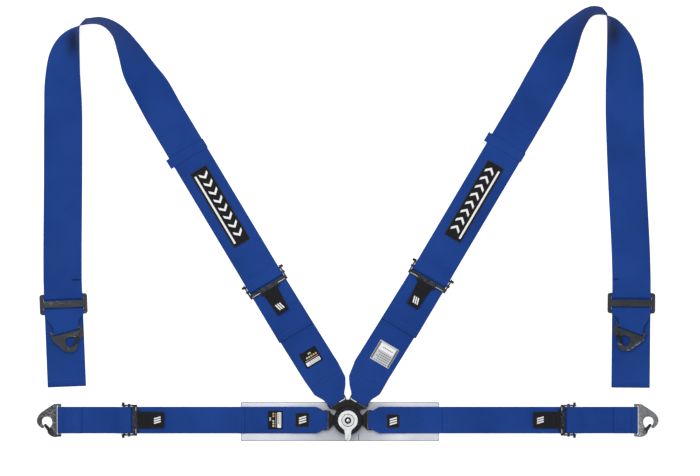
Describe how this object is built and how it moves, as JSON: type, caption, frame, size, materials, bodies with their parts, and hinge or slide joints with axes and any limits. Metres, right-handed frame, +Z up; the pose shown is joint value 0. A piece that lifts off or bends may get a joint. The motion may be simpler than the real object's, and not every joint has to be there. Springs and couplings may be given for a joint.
{
  "type": "racing harness",
  "caption": "Four-point racing harness laid flat: blue webbing, rotary cam-lock buckle, tilt adjusters, three-bar slides and snap hooks.",
  "frame": {"origin": "on the buckle axis, at the underside of the back pad", "axes": "+Z up out of the surface it lies on, along the buckle axis; +X along the right lap belt; +Y towards the shoulder belts"},
  "size_m": [1.212, 0.8447, 0.0759],
  "materials": {
    "webbing": "woven polyester webbing",
    "black_fabric": "woven, stitched",
    "black_steel": "satin black coating",
    "dark_steel": "phosphated",
    "grey_steel": "zinc plated",
    "bright_steel": "satin bright",
    "pad_plastic": "translucent sheet",
    "silver_label": "foil label"
  },
  "bodies": {
    "harness": {"back_pad": "pad_plastic", "buckle_back_plate": "black_steel", "buckle_housing": "black_steel", "lever_spring": "bright_steel", "spindle": "dark_steel", "fixed_tongue_pin": "bright_steel", "left_lap_tongue": "black_steel", "left_lap_tongue_strap": "webbing", "left_lap_hook_strap": "webbing", "left_lap_lock_bar": "dark_steel", "right_lap_tongue": "black_steel", "right_lap_tongue_strap": "webbing", "right_lap_hook_strap": "webbing", "right_lap_lock_bar": "dark_steel", "left_shoulder_tongue": "black_steel", "left_shoulder_tongue_strap": "webbing", "left_shoulder_hook_strap": "webbing", "left_shoulder_lock_bar": "dark_steel", "right_shoulder_tongue": "black_steel", "right_shoulder_tongue_strap": "webbing", "right_shoulder_hook_strap": "webbing", "right_shoulder_lock_bar": "dark_steel", "left_shoulder_three_bar_slide": "dark_steel", "right_shoulder_three_bar_slide": "dark_steel", "left_shoulder_patch": "black_fabric", "right_shoulder_patch": "black_fabric", "left_lap_patch": "black_fabric", "right_lap_patch": "black_fabric", "left_lap_label": "black_fabric", "left_shoulder_label": "black_fabric", "right_shoulder_label": "silver_label"},
    "release": {"release_lever": "bright_steel", "lever_cap": "bright_steel", "cam_rotor": "dark_steel"},
    "right_lap_latch": {"right_lap_latch_pin": "bright_steel"},
    "left_shoulder_latch": {"left_shoulder_latch_pin": "bright_steel"},
    "right_shoulder_latch": {"right_shoulder_latch_pin": "bright_steel"},
    "left_lap_adjuster": {"left_lap_adjuster_frame": "black_steel"},
    "left_lap_tab": {"left_lap_pull_tab": "black_fabric"},
    "left_lap_hook": {"left_lap_snap_hook": "dark_steel", "left_lap_gate_rivet": "bright_steel"},
    "left_lap_gate": {"left_lap_hook_gate": "dark_steel"},
    "right_lap_adjuster": {"right_lap_adjuster_frame": "black_steel"},
    "right_lap_tab": {"right_lap_pull_tab": "black_fabric"},
    "right_lap_hook": {"right_lap_snap_hook": "grey_steel", "right_lap_gate_rivet": "bright_steel"},
    "right_lap_gate": {"right_lap_hook_gate": "grey_steel"},
    "left_shoulder_adjuster": {"left_shoulder_adjuster_frame": "black_steel"},
    "left_shoulder_tab": {"left_shoulder_pull_tab": "black_fabric"},
    "left_shoulder_hook": {"left_shoulder_snap_hook": "dark_steel", "left_shoulder_gate_rivet": "bright_steel"},
    "left_shoulder_gate": {"left_shoulder_hook_gate": "dark_steel"},
    "left_shoulder_keeper": {"left_shoulder_keeper": "webbing"},
    "right_shoulder_adjuster": {"right_shoulder_adjuster_frame": "black_steel"},
    "right_shoulder_tab": {"right_shoulder_pull_tab": "black_fabric"},
    "right_shoulder_hook": {"right_shoulder_snap_hook": "dark_steel", "right_shoulder_gate_rivet": "bright_steel"},
    "right_shoulder_gate": {"right_shoulder_hook_gate": "dark_steel"},
    "right_shoulder_keeper": {"right_shoulder_keeper": "webbing"}
  },
  "joints": [
    {"name": "lever_turn", "type": "hinge", "parent": "harness", "child": "release", "pos_m": [0, 0, 0.018], "axis": [0, 0, 1], "range_deg": [0, 60], "stiffness_Nm_per_rad": 0.25},
    {"name": "right_lap_latch_lift", "type": "slide", "parent": "harness", "child": "right_lap_latch", "axis": [0, 0, 1], "range_m": [0, 0.0033]},
    {"name": "left_shoulder_latch_lift", "type": "slide", "parent": "harness", "child": "left_shoulder_latch", "axis": [0, 0, 1], "range_m": [0, 0.0033]},
    {"name": "right_shoulder_latch_lift", "type": "slide", "parent": "harness", "child": "right_shoulder_latch", "axis": [0, 0, 1], "range_m": [0, 0.0033]},
    {"name": "left_lap_adjuster_tilt", "type": "hinge", "parent": "harness", "child": "left_lap_adjuster", "pos_m": [-0.4365, 0, 0.0037], "axis": [0, -1, 0], "range_deg": [0, 30]},
    {"name": "left_lap_tab_lift", "type": "hinge", "parent": "left_lap_adjuster", "child": "left_lap_tab", "pos_m": [-0.4075, 0, 0.0079], "axis": [0, -1, 0], "range_deg": [0, 60]},
    {"name": "left_lap_hook_swing", "type": "hinge", "parent": "harness", "child": "left_lap_hook", "pos_m": [-0.562, 0, 0.0043], "axis": [0, 1, 0], "range_deg": [0, 75]},
    {"name": "left_lap_gate_swing", "type": "hinge", "parent": "left_lap_hook", "child": "left_lap_gate", "pos_m": [-0.579, -0.023, 0.007], "axis": [0, 0, -1], "range_deg": [0, 25], "stiffness_Nm_per_rad": 0.01},
    {"name": "right_lap_adjuster_tilt", "type": "hinge", "parent": "harness", "child": "right_lap_adjuster", "pos_m": [0.44, 0, 0.0037], "axis": [0, 1, 0], "range_deg": [0, 30]},
    {"name": "right_lap_tab_lift", "type": "hinge", "parent": "right_lap_adjuster", "child": "right_lap_tab", "pos_m": [0.411, 0, 0.0079], "axis": [0, 1, 0], "range_deg": [0, 60]},
    {"name": "right_lap_hook_swing", "type": "hinge", "parent": "harness", "child": "right_lap_hook", "pos_m": [0.561, 0, 0.0043], "axis": [0, -1, 0], "range_deg": [0, 75]},
    {"name": "right_lap_gate_swing", "type": "hinge", "parent": "right_lap_hook", "child": "right_lap_gate", "pos_m": [0.578, -0.023, 0.007], "axis": [0, 0, 1], "range_deg": [0, 25], "stiffness_Nm_per_rad": 0.01},
    {"name": "left_shoulder_adjuster_tilt", "type": "hinge", "parent": "harness", "child": "left_shoulder_adjuster", "pos_m": [-0.16613, 0.27758, 0.0037], "axis": [-0.8581, -0.5135, 0], "range_deg": [0, 30]},
    {"name": "left_shoulder_tab_lift", "type": "hinge", "parent": "left_shoulder_adjuster", "child": "left_shoulder_tab", "pos_m": [-0.15124, 0.2527, 0.0079], "axis": [-0.8581, -0.5135, 0], "range_deg": [0, 60]},
    {"name": "left_shoulder_hook_swing", "type": "hinge", "parent": "harness", "child": "left_shoulder_hook", "pos_m": [-0.5495, 0.175, 0.006], "axis": [-0.9659, -0.2588, 0], "range_deg": [0, 75]},
    {"name": "left_shoulder_gate_swing", "type": "hinge", "parent": "left_shoulder_hook", "child": "left_shoulder_gate", "pos_m": [-0.52288, 0.16453, 0.0085], "axis": [0, 0, -1], "range_deg": [0, 25], "stiffness_Nm_per_rad": 0.01},
    {"name": "left_shoulder_keeper_slide", "type": "slide", "parent": "harness", "child": "left_shoulder_keeper", "axis": [-0.5135, 0.8581, 0], "range_m": [0, 0.04]},
    {"name": "right_shoulder_adjuster_tilt", "type": "hinge", "parent": "harness", "child": "right_shoulder_adjuster", "pos_m": [0.16546, 0.2896, 0.0037], "axis": [-0.8607, 0.509, 0], "range_deg": [0, 30]},
    {"name": "right_shoulder_tab_lift", "type": "hinge", "parent": "right_shoulder_adjuster", "child": "right_shoulder_tab", "pos_m": [0.1507, 0.26464, 0.0079], "axis": [-0.8607, 0.509, 0], "range_deg": [0, 60]},
    {"name": "right_shoulder_hook_swing", "type": "hinge", "parent": "harness", "child": "right_shoulder_hook", "pos_m": [0.5515, 0.177, 0.006], "axis": [-0.9397, 0.342, 0], "range_deg": [0, 75]},
    {"name": "right_shoulder_gate_swing", "type": "hinge", "parent": "right_shoulder_hook", "child": "right_shoulder_gate", "pos_m": [0.52407, 0.16889, 0.0085], "axis": [0, 0, 1], "range_deg": [0, 25], "stiffness_Nm_per_rad": 0.01},
    {"name": "right_shoulder_keeper_slide", "type": "slide", "parent": "harness", "child": "right_shoulder_keeper", "axis": [0.509, 0.8607, 0], "range_m": [0, 0.04]}
  ],
  "couplings": [
    {"joint": "right_lap_latch_lift", "follows": "lever_turn", "m_per_rad": 0.0030558},
    {"joint": "left_shoulder_latch_lift", "follows": "lever_turn", "m_per_rad": 0.0030558},
    {"joint": "right_shoulder_latch_lift", "follows": "lever_turn", "m_per_rad": 0.0030558}
  ]
}
